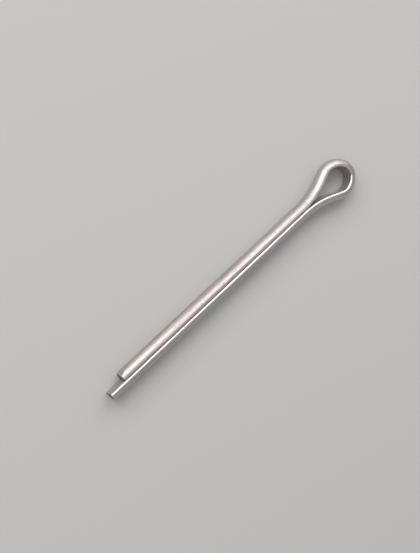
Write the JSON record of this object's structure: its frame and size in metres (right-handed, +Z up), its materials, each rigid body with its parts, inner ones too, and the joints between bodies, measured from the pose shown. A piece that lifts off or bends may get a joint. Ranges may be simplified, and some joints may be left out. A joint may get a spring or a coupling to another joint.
{
  "type": "cotter pin",
  "caption": "Half-round wire folded flat to flat into a round shank with uneven legs, and an open eye at the fold; it locks pins and castle nuts in place.",
  "frame": {"origin": "under the middle of the pin, on the surface it lies on", "axes": "+X along the shank towards the eye, +Y towards the short leg's side of the fold, +Z up, across the plane of the fold"},
  "size_m": [0.0568, 0.007, 0.0028],
  "materials": {
    "steel": "bright drawn low-carbon steel wire, satin along its length, with fine drawing lines and light tool marks"
  },
  "bodies": {
    "root": {"cotter_pin": "steel"}
  },
  "joints": []
}
